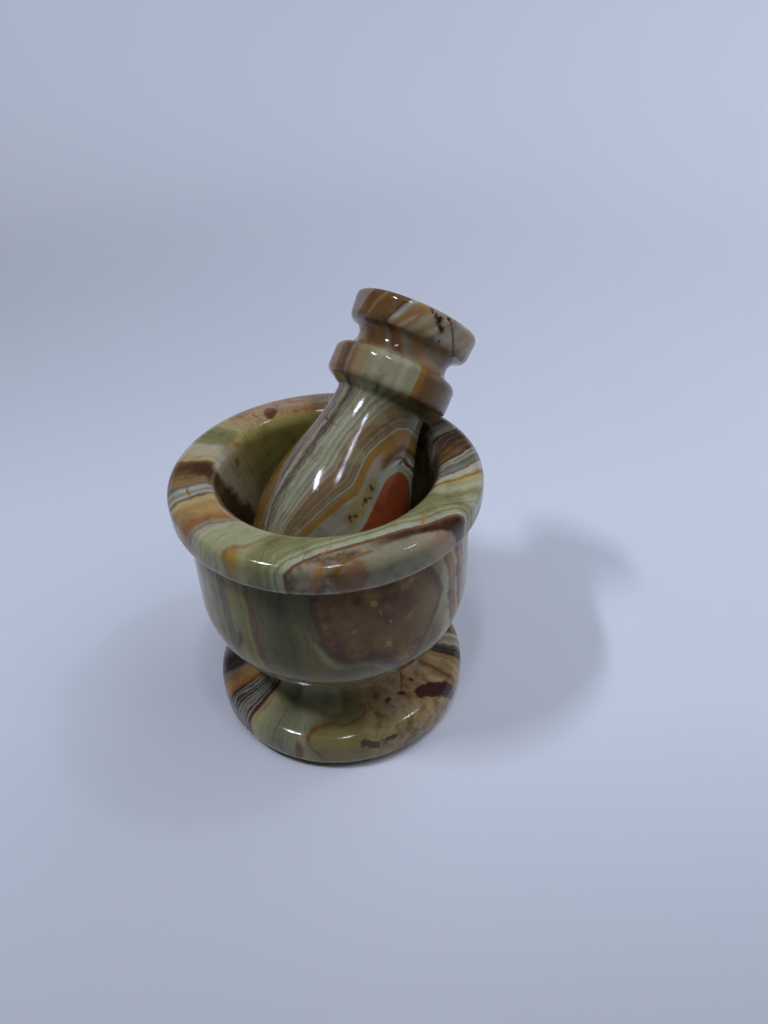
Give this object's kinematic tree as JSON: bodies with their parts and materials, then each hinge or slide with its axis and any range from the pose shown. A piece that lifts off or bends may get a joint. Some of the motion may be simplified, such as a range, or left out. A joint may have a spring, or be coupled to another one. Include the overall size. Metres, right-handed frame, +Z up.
{
  "type": "mortar and pestle",
  "caption": "Footed stone mortar with a thick rolled lip, and a turned club pestle with a grooved, collared head leaning in its cup.",
  "frame": {"origin": "centre of the mortar's flat base, on the mortar's axis", "axes": "+Z up along the mortar's axis, +X towards the side that the pestle leans to"},
  "size_m": [0.0994, 0.09, 0.129],
  "materials": {
    "mortar_stone": "polished banded onyx, green, brown and amber",
    "pestle_stone": "polished banded onyx, pale green, amber and brick red"
  },
  "bodies": {
    "mortar": {"mortar": "mortar_stone"},
    "pestle": {"pestle": "pestle_stone"}
  },
  "joints": [
    {"name": "pestle_lift", "type": "slide", "parent": "mortar", "child": "pestle", "axis": [0, 0, 1], "range_m": [0, 0.07]}
  ]
}
